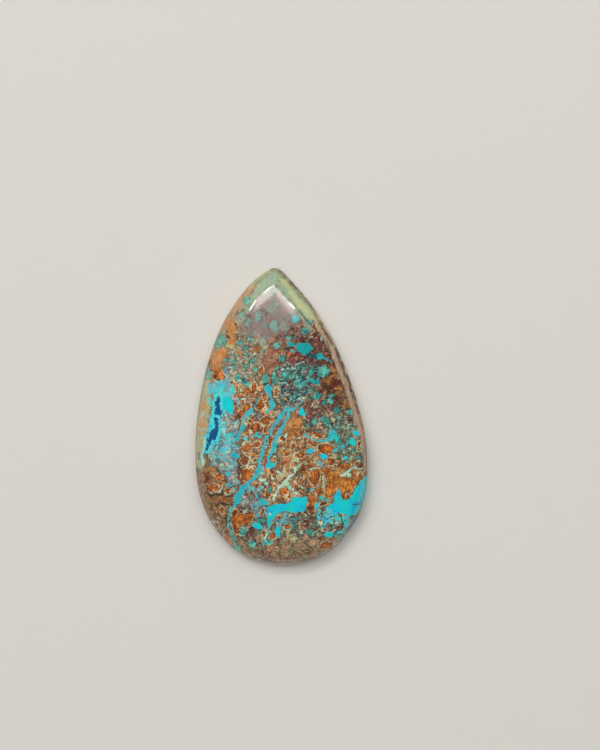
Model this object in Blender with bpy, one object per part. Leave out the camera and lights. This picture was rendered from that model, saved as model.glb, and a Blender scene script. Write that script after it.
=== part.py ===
"""A chrysocolla specimen: one stone, cut and polished as a pear-shaped cabochon.

The stone lies on its flat back. Its frame has the origin at the middle of the back, +Y towards the
point of the pear and +Z out of the domed face. Lengths are in millimetres until the mesh is made.

From the back upwards the stone has a small chamfer, a wall that leans in a little, a shoulder and a
low dome. It was shaped by hand: the shoulder is a crisp bevel on the upper right and at the point,
and rolls off broadly on the left and at the round end.
"""

import math

import bmesh
import bpy

STONE = "chrysocolla_cabochon"
METRES_PER_MM = 0.001

# Driving dimensions.
LENGTH = 30.0
WIDTH = 17.2
THICKNESS = 4.8
DOME_TOP = (0.3, -2.6)  # where the dome is highest, across and along the stone

# The girdle, the stone's widest outline, clockwise from the point: a smooth curve through these.
GIRDLE = (
    (-0.30, 14.85),
    (0.45, 14.52),
    (1.85, 12.97),
    (3.15, 11.35),
    (4.35, 9.45),
    (5.45, 7.45),
    (6.32, 5.40),
    (7.06, 3.40),
    (7.72, 1.20),
    (8.30, -1.60),
    (8.53, -4.60),
    (8.38, -7.30),
    (7.75, -9.50),
    (6.60, -11.45),
    (5.10, -13.20),
    (3.00, -14.42),
    (0.00, -14.90),
    (-3.05, -14.30),
    (-5.10, -13.10),
    (-6.75, -11.25),
    (-7.85, -9.20),
    (-8.50, -6.60),
    (-8.65, -3.60),
    (-8.48, -0.80),
    (-8.05, 2.00),
    (-7.40, 4.80),
    (-6.60, 7.20),
    (-5.60, 9.45),
    (-4.25, 11.55),
    (-2.75, 13.35),
    (-1.15, 14.55),
)
POINTS_PER_SPAN = 4  # mesh points between one girdle point and the next

# The section, from the back up.
CHAMFER = 0.30
CRISP_WALL_TOP = 2.20
SOFT_WALL_TOP = 1.50
# The shoulder from the wall's top to the dome's rim, as shares of its width and height.
CRISP_SHOULDER = ((0.0, 0.0), (0.065, 0.14), (0.41, 0.72), (0.52, 0.83), (0.69, 0.91), (1.0, 1.0))
SOFT_SHOULDER = ((0.0, 0.0), (0.06, 0.25), (0.22, 0.50), (0.42, 0.70), (0.68, 0.87), (1.0, 1.0))

# How the section changes round the stone: the direction from the dome's top in degrees from +X, how
# far the wall leans in, the shoulder's width, and its softness from 0, crisp, to 1, rolled off.
SECTION_ROUND = (
    (-90.0, 0.12, 2.00, 1.00),
    (-35.0, 0.08, 1.10, 0.60),
    (-5.0, 0.08, 0.75, 0.15),
    (28.0, 0.30, 1.08, 0.00),
    (62.0, 0.26, 0.96, 0.00),
    (92.0, 0.42, 1.60, 0.08),
    (115.0, 0.42, 1.50, 0.30),
    (150.0, 0.25, 1.80, 0.80),
    (200.0, 0.15, 2.20, 1.00),
)

# The dome's rings, as shares of the way from its top to its rim.
DOME_RINGS = (0.94, 0.86, 0.75, 0.61, 0.46, 0.31, 0.16)
DOME_INSET = 1.5  # how far in from the girdle the dome's level lines are measured
DOME_DROP = 2.45  # how far the dome falls from its top to there
DOME_BLEND = 3.0  # how closely the level lines follow the pear: lower is rounder

SMOOTH_BELOW = 40.0  # faces that meet at a smaller angle in degrees are shaded as one surface

STONE_COLOUR = (0.13, 0.25, 0.22, 1.0)
STONE_ROUGHNESS = 0.15


def clear_scene():
    for old in list(bpy.data.objects):
        bpy.data.objects.remove(old)


def between(a, b, share):
    return a + (b - a) * share


def curve_point(before, start, end, after, share):
    """A point of the Catmull-Rom curve from start to end."""
    square, cube = share**2, share**3
    return tuple(
        0.5 * (2 * s + (e - b) * share + (2 * b - 5 * s + 4 * e - a) * square
               + (3 * s - b - 3 * e + a) * cube)
        for b, s, e, a in zip(before, start, end, after)
    )


def girdle_curve():
    """The girdle as points on a smooth closed curve, fitted to LENGTH and WIDTH about the origin."""
    count = len(GIRDLE)
    points = [
        curve_point(GIRDLE[i - 1], GIRDLE[i], GIRDLE[(i + 1) % count], GIRDLE[(i + 2) % count],
                    step / POINTS_PER_SPAN)
        for i in range(count)
        for step in range(POINTS_PER_SPAN)
    ]
    fitted = []
    for values, size in zip(zip(*points), (WIDTH, LENGTH)):
        low, high = min(values), max(values)
        fitted.append([(v - (low + high) / 2) * size / (high - low) for v in values])
    return list(zip(*fitted))


def edge_lines(points):
    """Each edge of the clockwise outline, as its outward direction and its distance from the dome's top."""
    lines = []
    for (x, y), (next_x, next_y) in zip(points, points[1:] + points[:1]):
        length = math.hypot(next_x - x, next_y - y)
        outward = ((y - next_y) / length, (next_x - x) / length)
        distance = outward[0] * (x - DOME_TOP[0]) + outward[1] * (y - DOME_TOP[1])
        lines.append((outward, distance))
    return lines


def reach(lines, direction, inset):
    """How far the outline, moved inwards by inset, lies from the dome's top in this direction."""
    across, along = math.cos(direction), math.sin(direction)
    met = []
    for outward, distance in lines:
        facing = outward[0] * across + outward[1] * along
        if facing > 0:
            met.append((distance - inset) / facing)
    return min(met)


def section_at(direction):
    """The wall's lean, the shoulder's width and its softness in this direction."""
    degrees = math.degrees(direction)
    rows = [*SECTION_ROUND, (SECTION_ROUND[0][0] + 360, *SECTION_ROUND[0][1:])]
    degrees = (degrees - rows[0][0]) % 360 + rows[0][0]
    for start, end in zip(rows, rows[1:]):
        if degrees <= end[0]:
            share = (degrees - start[0]) / (end[0] - start[0])
            eased = share * share * (3 - 2 * share)
            return tuple(between(s, e, eased) for s, e in zip(start[1:], end[1:]))


def dome_height(lines, across, along):
    """The dome's height over a point: smooth, and lower the nearer the point is to the outline."""
    closeness = [
        (outward[0] * (across - DOME_TOP[0]) + outward[1] * (along - DOME_TOP[1])) / (distance - DOME_INSET)
        for outward, distance in lines
    ]
    mean = sum(math.exp(DOME_BLEND * c) for c in closeness) / len(closeness)
    return THICKNESS - DOME_DROP * math.log(mean) / DOME_BLEND


def section_insets(direction):
    """The section in this direction, as (inset, share of the way up from the wall's top) and wall top."""
    lean, width, softness = section_at(direction)
    wall_top = between(CRISP_WALL_TOP, SOFT_WALL_TOP, softness)
    shoulder = []
    for crisp, soft in zip(CRISP_SHOULDER, SOFT_SHOULDER):
        across, up = (between(c, s, softness) for c, s in zip(crisp, soft))
        shoulder.append((lean + across * width, up))
    return wall_top, shoulder


def section_points(lines, direction):
    """One section, from the back's edge up to the dome's rim and on to the innermost ring of the dome."""
    unit = (math.cos(direction), math.sin(direction))

    def place(inset):
        far = reach(lines, direction, inset)
        return DOME_TOP[0] + far * unit[0], DOME_TOP[1] + far * unit[1]

    wall_top, shoulder = section_insets(direction)
    rim = place(shoulder[-1][0])
    rim_height = dome_height(lines, *rim)
    points = [(*place(CHAMFER), 0.0), (*place(0.0), CHAMFER)]
    points += [(*place(inset), between(wall_top, rim_height, up)) for inset, up in shoulder]
    for share in DOME_RINGS:
        spot = tuple(between(top, edge, share) for top, edge in zip(DOME_TOP, rim))
        points.append((*spot, dome_height(lines, *spot)))
    return points


def stone_mesh():
    outline = girdle_curve()
    lines = edge_lines(outline)
    directions = [math.atan2(y - DOME_TOP[1], x - DOME_TOP[0]) for x, y in outline]
    rings = zip(*(section_points(lines, direction) for direction in directions))

    mesh = bmesh.new()
    loops = [[mesh.verts.new([v * METRES_PER_MM for v in point]) for point in ring] for ring in rings]
    top = mesh.verts.new([v * METRES_PER_MM for v in (*DOME_TOP, THICKNESS)])
    count = len(directions)
    for lower, upper in zip(loops, loops[1:]):
        for i in range(count):
            mesh.faces.new((lower[i], upper[i], upper[(i + 1) % count], lower[(i + 1) % count]))
    for i in range(count):
        mesh.faces.new((loops[-1][i], top, loops[-1][(i + 1) % count]))
    mesh.faces.new(loops[0])
    bmesh.ops.recalc_face_normals(mesh, faces=mesh.faces)
    made = bpy.data.meshes.new(STONE)
    mesh.to_mesh(made)
    mesh.free()
    return made


def stone_material():
    material = bpy.data.materials.new("polished_chrysocolla")
    material.use_nodes = True
    shader = material.node_tree.nodes["Principled BSDF"]
    shader.inputs["Base Color"].default_value = STONE_COLOUR
    shader.inputs["Roughness"].default_value = STONE_ROUGHNESS
    shader.inputs["Metallic"].default_value = 0.0
    return material


def add_stone():
    mesh = stone_mesh()
    mesh.materials.append(stone_material())
    mesh.shade_smooth()
    mesh.set_sharp_from_angle(angle=math.radians(SMOOTH_BELOW))
    stone = bpy.data.objects.new(STONE, mesh)
    bpy.context.scene.collection.objects.link(stone)
    return stone


clear_scene()
add_stone()
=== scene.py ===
"""The looks of the chrysocolla specimen: a pear-shaped polished cabochon lying on its flat back.

The stone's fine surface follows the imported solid's form. Its markings are drawn as shapes on the face,
measured as seen from the camera, and stored on the mesh as distances from each mineral's edge. The
material then breaks those edges up and fills each mineral with its own grain.
"""

import math
import re
from collections import namedtuple

import bpy
import numpy as np
from mathutils import Matrix, Vector


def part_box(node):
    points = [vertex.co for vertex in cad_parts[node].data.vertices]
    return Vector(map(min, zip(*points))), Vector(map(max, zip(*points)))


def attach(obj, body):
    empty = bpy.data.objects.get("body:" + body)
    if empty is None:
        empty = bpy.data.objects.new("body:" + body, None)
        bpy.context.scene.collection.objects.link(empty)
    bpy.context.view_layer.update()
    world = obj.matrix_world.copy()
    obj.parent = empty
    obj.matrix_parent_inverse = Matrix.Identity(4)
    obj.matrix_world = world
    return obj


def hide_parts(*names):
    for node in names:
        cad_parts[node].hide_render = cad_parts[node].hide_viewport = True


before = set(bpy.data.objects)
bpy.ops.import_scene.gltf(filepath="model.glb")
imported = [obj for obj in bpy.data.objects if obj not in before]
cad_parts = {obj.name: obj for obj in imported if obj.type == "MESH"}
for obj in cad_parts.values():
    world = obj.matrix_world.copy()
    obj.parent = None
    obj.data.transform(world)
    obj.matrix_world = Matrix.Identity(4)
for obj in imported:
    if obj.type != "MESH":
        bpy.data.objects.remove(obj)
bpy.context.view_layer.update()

METRES_PER_MM = 0.001
STONE = "chrysocolla_cabochon"

# ------------------------------------------------------------------------------
# The view: the stone's place in the photograph, in pixels of its 600 x 750 frame, and the camera
# that sees it so. Markings are measured in the same pixels.
# ------------------------------------------------------------------------------
PHOTO_WIDTH, PHOTO_HEIGHT = 600, 750
STONE_ACROSS, STONE_DOWN = 279.8, 419.6  # where the aim point appears
MM_PER_PIXEL = 0.0989
AIM = np.array([0.0, 0.0, 1.5])  # mm
CAMERA_TILT = math.radians(12.0)  # from straight above
CAMERA_TURN = math.radians(13.0)  # of that tilt, from +Y towards +X
CAMERA_ROLL = math.radians(1.1)
CAMERA_DISTANCE = 200.0  # mm
SENSOR = 36.0  # mm, along the picture's height

# ------------------------------------------------------------------------------
# The form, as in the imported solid, in mm.
# ------------------------------------------------------------------------------
DOME_TOP = np.array([0.3, -2.6])
GIRDLE = (
    (-0.30, 14.85), (0.45, 14.52), (1.85, 12.97), (3.15, 11.35), (4.35, 9.45), (5.45, 7.45),
    (6.32, 5.40), (7.06, 3.40), (7.72, 1.20), (8.30, -1.60), (8.53, -4.60), (8.38, -7.30),
    (7.75, -9.50), (6.60, -11.45), (5.10, -13.20), (3.00, -14.42), (0.00, -14.90), (-3.05, -14.30),
    (-5.10, -13.10), (-6.75, -11.25), (-7.85, -9.20), (-8.50, -6.60), (-8.65, -3.60), (-8.48, -0.80),
    (-8.05, 2.00), (-7.40, 4.80), (-6.60, 7.20), (-5.60, 9.45), (-4.25, 11.55), (-2.75, 13.35),
    (-1.15, 14.55),
)
CHAMFER = 0.30
CRISP_WALL_TOP = 2.20
SOFT_WALL_TOP = 1.50
# The shoulder from the wall's top to the dome's rim, as shares of its width and height.
CRISP_SHOULDER = ((0.0, 0.0), (0.065, 0.14), (0.41, 0.72), (0.52, 0.83), (0.69, 0.91), (1.0, 1.0))
SOFT_SHOULDER = ((0.0, 0.0), (0.06, 0.25), (0.22, 0.50), (0.42, 0.70), (0.68, 0.87), (1.0, 1.0))
SECTION_ROUND = (  # direction in degrees, the wall's lean, the shoulder's width and its softness
    (-90.0, 0.12, 2.00, 1.00),
    (-35.0, 0.08, 1.10, 0.60),
    (-5.0, 0.08, 0.75, 0.15),
    (28.0, 0.30, 1.08, 0.00),
    (62.0, 0.26, 0.96, 0.00),
    (92.0, 0.42, 1.60, 0.08),
    (115.0, 0.42, 1.50, 0.30),
    (150.0, 0.25, 1.80, 0.80),
    (200.0, 0.15, 2.20, 1.00),
)
DOME_INSET = 1.5
DOME_DROP = 2.45
DOME_BLEND = 3.0

# The fine mesh.
ROUND = 768  # points round the stone
FEWEST_ROUND = 12  # points round the smallest rings
SPAN_POINTS = 24  # points of the outline between one girdle point and the next
RINGS_PER_LEVEL = (4, 9, 3, 8, 4, 4, 5)  # rings from each level of the section to the next
DOME_STEPS = 92  # rings from the dome's rim to its top
BACK_STEPS = 30  # rings from the back's edge to its middle
EDGE_SMOOTHINGS = 6
SMOOTHED_PAST_RIM = 12  # rings of the dome that take part in them


# ------------------------------------------------------------------------------
# Camera geometry
# ------------------------------------------------------------------------------
def camera_axes():
    """The camera's right, up and backward directions."""
    back = np.array([
        math.sin(CAMERA_TILT) * math.sin(CAMERA_TURN),
        math.sin(CAMERA_TILT) * math.cos(CAMERA_TURN),
        math.cos(CAMERA_TILT),
    ])
    up = np.array([0.0, 1.0, 0.0]) - back * back[1]
    up /= np.linalg.norm(up)
    right = np.cross(up, back)
    turned_up = up * math.cos(CAMERA_ROLL) + right * math.sin(CAMERA_ROLL)
    turned_right = right * math.cos(CAMERA_ROLL) - up * math.sin(CAMERA_ROLL)
    return turned_right, turned_up, back


def seen_at(points):
    """Where points of the stone, in mm, appear in the photograph, in pixels."""
    right, up, back = camera_axes()
    from_camera = points - (AIM + back * CAMERA_DISTANCE)
    scale = CAMERA_DISTANCE / -(from_camera @ back) / MM_PER_PIXEL
    across = STONE_ACROSS + (from_camera @ right) * scale
    down = STONE_DOWN - (from_camera @ up) * scale
    return across, down


# ------------------------------------------------------------------------------
# The stone's form
# ------------------------------------------------------------------------------
def girdle_outline(size):
    """The girdle as points on a closed Catmull-Rom curve through GIRDLE, fitted to size."""
    start = np.array(GIRDLE)
    before, end, after = np.roll(start, 1, 0), np.roll(start, -1, 0), np.roll(start, -2, 0)
    share = (np.arange(SPAN_POINTS) / SPAN_POINTS)[None, :, None]
    before, start, end, after = (p[:, None, :] for p in (before, start, end, after))
    curve = 0.5 * (
        2 * start
        + (end - before) * share
        + (2 * before - 5 * start + 4 * end - after) * share**2
        + (3 * start - before - 3 * end + after) * share**3
    )
    curve = curve.reshape(-1, 2)
    low, high = curve.min(0), curve.max(0)
    return (curve - (low + high) / 2) * size / (high - low)


def even_directions(outline):
    """Directions from the dome's top to points spaced evenly along the outline."""
    closed = np.vstack([outline, outline[:1]])
    run = np.concatenate([[0], np.cumsum(np.linalg.norm(np.diff(closed, axis=0), axis=1))])
    stops = np.arange(ROUND) / ROUND * run[-1]
    points = np.stack([np.interp(stops, run, closed[:, i]) for i in range(2)], 1) - DOME_TOP
    return np.arctan2(points[:, 1], points[:, 0])


def outline_lines(outline):
    """Each edge's outward direction and its distance from the dome's top."""
    edge = np.roll(outline, -1, 0) - outline
    outward = np.stack([-edge[:, 1], edge[:, 0]], 1) / np.linalg.norm(edge, axis=1)[:, None]
    return outward, ((outline - DOME_TOP) * outward).sum(1)


def reach(lines, directions, inset):
    """How far the outline, moved inwards by inset, lies from the dome's top in each direction."""
    outward, distance = lines
    facing = np.stack([np.cos(directions), np.sin(directions)], 1) @ outward.T
    far = (distance[None, :] - inset[:, None]) / np.where(facing > 0, facing, np.nan)
    return np.nanmin(far, axis=1)


def section_values(directions):
    """The wall's lean, the shoulder's width and its softness in each direction."""
    rows = np.array([*SECTION_ROUND, (SECTION_ROUND[0][0] + 360, *SECTION_ROUND[0][1:])])
    degrees = (np.degrees(directions) - rows[0, 0]) % 360 + rows[0, 0]
    index = np.clip(np.searchsorted(rows[:, 0], degrees) - 1, 0, len(rows) - 2)
    start, end = rows[index], rows[index + 1]
    share = ease(degrees, start[:, 0], end[:, 0])[:, None]
    return (start + (end - start) * share)[:, 1:].T


def dome_height(lines, top, places):
    """The dome's height over places of shape (count, 2), in mm."""
    outward, distance = lines
    closeness = ((places - DOME_TOP) @ outward.T) / (distance - DOME_INSET)
    return top - DOME_DROP * np.log(np.exp(DOME_BLEND * closeness).mean(1)) / DOME_BLEND


def stone_rings(size):
    """Rings of points, in mm, from the edge of the flat back to next to the dome's top."""
    outline = girdle_outline(size[:2])
    directions = even_directions(outline)
    lines = outline_lines(outline)
    unit = np.stack([np.cos(directions), np.sin(directions)], 1)
    lean, width, softness = section_values(directions)
    wall_top = CRISP_WALL_TOP + (SOFT_WALL_TOP - CRISP_WALL_TOP) * softness

    def place(inset):
        return DOME_TOP + unit * reach(lines, directions, inset)[:, None]

    levels = [
        (place(np.full(ROUND, CHAMFER)), np.zeros(ROUND)),
        (place(np.zeros(ROUND)), np.full(ROUND, CHAMFER)),
    ]
    rim = place(lean + width)
    rim_height = dome_height(lines, size[2], rim)
    for crisp, soft in zip(CRISP_SHOULDER, SOFT_SHOULDER):
        across, up = ((c + (s - c) * softness) for c, s in zip(crisp, soft))
        levels.append((place(lean + across * width), wall_top + (rim_height - wall_top) * up))
    levels = [np.column_stack(level) for level in levels]

    rings = []
    for lower, upper, steps in zip(levels, levels[1:], RINGS_PER_LEVEL):
        rings += [lower + (upper - lower) * step / steps for step in range(steps)]
    smoothed = len(rings) + SMOOTHED_PAST_RIM
    for step in range(DOME_STEPS):
        places = DOME_TOP + (rim - DOME_TOP) * (1 - step / DOME_STEPS)
        rings.append(np.column_stack([places, dome_height(lines, size[2], places)]))
    return smooth_edges(np.array(rings), smoothed)


def smooth_edges(rings, count):
    """Eases the section's corners over the first rings, and keeps the back flat."""
    for _ in range(EDGE_SMOOTHINGS):
        rings[1:count] = (rings[: count - 1] + 2 * rings[1:count] + rings[2 : count + 1]) / 4
    rings[0, :, 2] = 0.0
    return rings


def thinned(rings):
    """Halves a ring's points each time the rings have shrunk to half, so the faces stay even."""
    out, keep = [], 1
    first = np.linalg.norm(rings[0] - rings[0].mean(0), axis=1).mean()
    for ring in rings:
        size = np.linalg.norm(ring - ring.mean(0), axis=1).mean()
        while size < first / keep / 2 and ROUND // (keep * 2) >= FEWEST_ROUND:
            keep *= 2
        out.append(ring[::keep])
    return out


def ring_faces(starts, counts):
    """Faces between each ring and the next, which has as many points or half as many."""
    faces = []
    for (low, low_count), (high, high_count) in zip(zip(starts, counts), zip(starts[1:], counts[1:])):
        for i in range(high_count):
            j = (i + 1) % high_count
            if low_count == high_count:
                faces.append((low + i, high + i, high + j, low + j))
            else:
                a, b, c = 2 * i, 2 * i + 1, (2 * i + 2) % low_count
                faces.append((low + a, high + i, low + b))
                faces.append((low + b, high + i, high + j))
                faces.append((low + b, high + j, low + c))
    return faces


def fan_faces(start, count, centre):
    """Faces from one ring to the vertex in its middle."""
    return [(start + i, centre, start + (i + 1) % count) for i in range(count)]


def surface_mesh(rings):
    """Vertices and faces of the whole stone from its rings, with the flat back filled in."""
    middle = np.array([*DOME_TOP, 0.0])
    top = np.array([*DOME_TOP, rings[-1][:, 2].max()])
    back = [middle + (rings[0] - middle) * (1 - step / BACK_STEPS) for step in range(1, BACK_STEPS)]
    stack = thinned(back)[::-1] + thinned(rings)
    counts = [len(ring) for ring in stack]
    *starts, total = (sum(counts[:i]) for i in range(len(counts) + 1))
    edge = len(back)  # the ring round the flat back
    inward = [(starts[edge], counts[edge]), *zip(starts[edge - 1 :: -1], counts[edge - 1 :: -1])]
    faces = [face[::-1] for face in ring_faces(*zip(*inward))]
    faces += ring_faces(starts[edge:], counts[edge:])
    faces += fan_faces(starts[0], counts[0], total) + fan_faces(starts[-1], counts[-1], total + 1)
    return np.vstack([*stack, middle[None], top[None]]), faces


def ease(values, low, high):
    """0 below low, 1 above high, and a smooth rise between them."""
    share = np.clip((values - low) / (high - low), 0, 1)
    return share * share * (3 - 2 * share)


# ------------------------------------------------------------------------------
# Where the markings lie on the surface
# ------------------------------------------------------------------------------
FARTHEST = 3.0  # mm, the most that a distance is stored as
# Out of the camera's sight the minerals' places wander, because they don't run straight through the
# stone: by WANDER pixels over long waves and a share of that over short ones. Everywhere they shake a
# little. Lengths are in mm.
SIGHT = (-0.30, 0.20)  # the cosines to the camera between which a face comes into sight
WANDER = 16.0
WANDER_LENGTH = 9.0
SHORT_SHARE, SHORT_LENGTH = 0.4, 3.0
SHAKE, SHAKE_LENGTH = 0.7, 0.9
ACROSS_SEEDS, DOWN_SEEDS = (3, 4, 7), (5, 6, 8)  # of the long waves, the short ones and the shaking
WAVES = 9
STEEPNESS_VARIES = (0.6, 1.3)  # from wave to wave


def spots_distance(x, y, ellipses):
    """The distance outside the nearest ellipse, below zero inside it."""
    nearest = np.full(len(x), np.inf)
    for ellipse in ellipses:
        across, down, half_width, half_height, lean = (*ellipse, 0.0)[:5]
        turn = math.radians(lean)
        along = (x - across) * math.cos(turn) - (y - down) * math.sin(turn)
        aside = (x - across) * math.sin(turn) + (y - down) * math.cos(turn)
        away = (np.hypot(along / half_width, aside / half_height) - 1) * min(half_width, half_height)
        nearest = np.minimum(nearest, away)
    return nearest


def from_segment(x, y, start, end):
    """The distance from a straight segment, and how far along it the nearest point is, from 0 to 1."""
    run = np.array(end) - start
    share = np.clip(((x - start[0]) * run[0] + (y - start[1]) * run[1]) / (run @ run), 0, 1)
    return np.hypot(x - start[0] - share * run[0], y - start[1] - share * run[1]), share


def vein_distance(x, y, points):
    """The distance outside a line whose width changes along it, below zero inside it."""
    nearest = np.full(len(x), np.inf)
    for (*start, start_width), (*end, end_width) in zip(points, points[1:]):
        away, share = from_segment(x, y, start, end)
        nearest = np.minimum(nearest, away - (start_width + (end_width - start_width) * share))
    return nearest


def area_distance(x, y, corners):
    """The distance outside a closed outline, below zero inside it."""
    nearest = np.full(len(x), np.inf)
    inside = np.zeros(len(x), bool)
    for start, end in zip(corners, corners[1:] + corners[:1]):
        away, _ = from_segment(x, y, start, end)
        nearest = np.minimum(nearest, away)
        if start[1] != end[1]:
            crossing = start[0] + (y - start[1]) / (end[1] - start[1]) * (end[0] - start[0])
            inside ^= ((start[1] > y) != (end[1] > y)) & (x < crossing)
    return np.where(inside, -nearest, nearest)


DISTANCES = {"spots": spots_distance, "vein": vein_distance, "area": area_distance}


def shapes(drawing):
    """The shapes of a drawing, which is text, each as its kind and its places.

    A place's numbers are joined by commas. After "spots" come ellipses: across, down, half the width, half
    the height and, where one leans, its lean in degrees anticlockwise. After "vein" come the points of one
    line: across, down and half the line's width. After "area" come the corners of one closed outline. "#"
    starts a comment.
    """
    found = []
    for word in re.sub("#.*", "", drawing).split():
        if word in DISTANCES:
            found.append((word, []))
        else:
            found[-1][1].append(tuple(float(number) for number in word.split(",")))
    return found


def distance_to(drawing, x, y):
    """The distance in mm outside the nearest of a drawing's shapes, below zero inside it."""
    nearest = np.min([DISTANCES[kind](x, y, places) for kind, places in shapes(drawing)], axis=0)
    return np.clip(nearest * MM_PER_PIXEL, -FARTHEST, FARTHEST)


def swell(points, length, seed):
    """A smooth random value at each point, about -1 to 1, that changes over this length in mm."""
    random = np.random.RandomState(seed)
    waves = random.normal(size=(WAVES, 3))
    steepness = 2 * math.pi / length * random.uniform(*STEEPNESS_VARIES, WAVES)
    waves *= (steepness / np.linalg.norm(waves, axis=1))[:, None]
    starts = random.uniform(0, 2 * math.pi, WAVES)
    return np.sin(points @ waves.T + starts).sum(1) / math.sqrt(WAVES)


def moved(points, hidden, seeds):
    """How far in pixels the minerals' places move one way, at points that are hidden from 0 to 1."""
    long_seed, short_seed, shake_seed = seeds
    short = SHORT_SHARE * swell(points, SHORT_LENGTH, short_seed)
    wander = swell(points, WANDER_LENGTH, long_seed) + short
    return hidden * WANDER * wander + SHAKE * swell(points, SHAKE_LENGTH, shake_seed)


def marking_places(points, normals):
    """Where each point's markings are read, in pixels: where the camera sees it, moved a little."""
    x, y = seen_at(points)
    hidden = 1 - ease(normals @ camera_axes()[2], *SIGHT)
    return x + moved(points, hidden, ACROSS_SEEDS), y + moved(points, hidden, DOWN_SEEDS)


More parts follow.
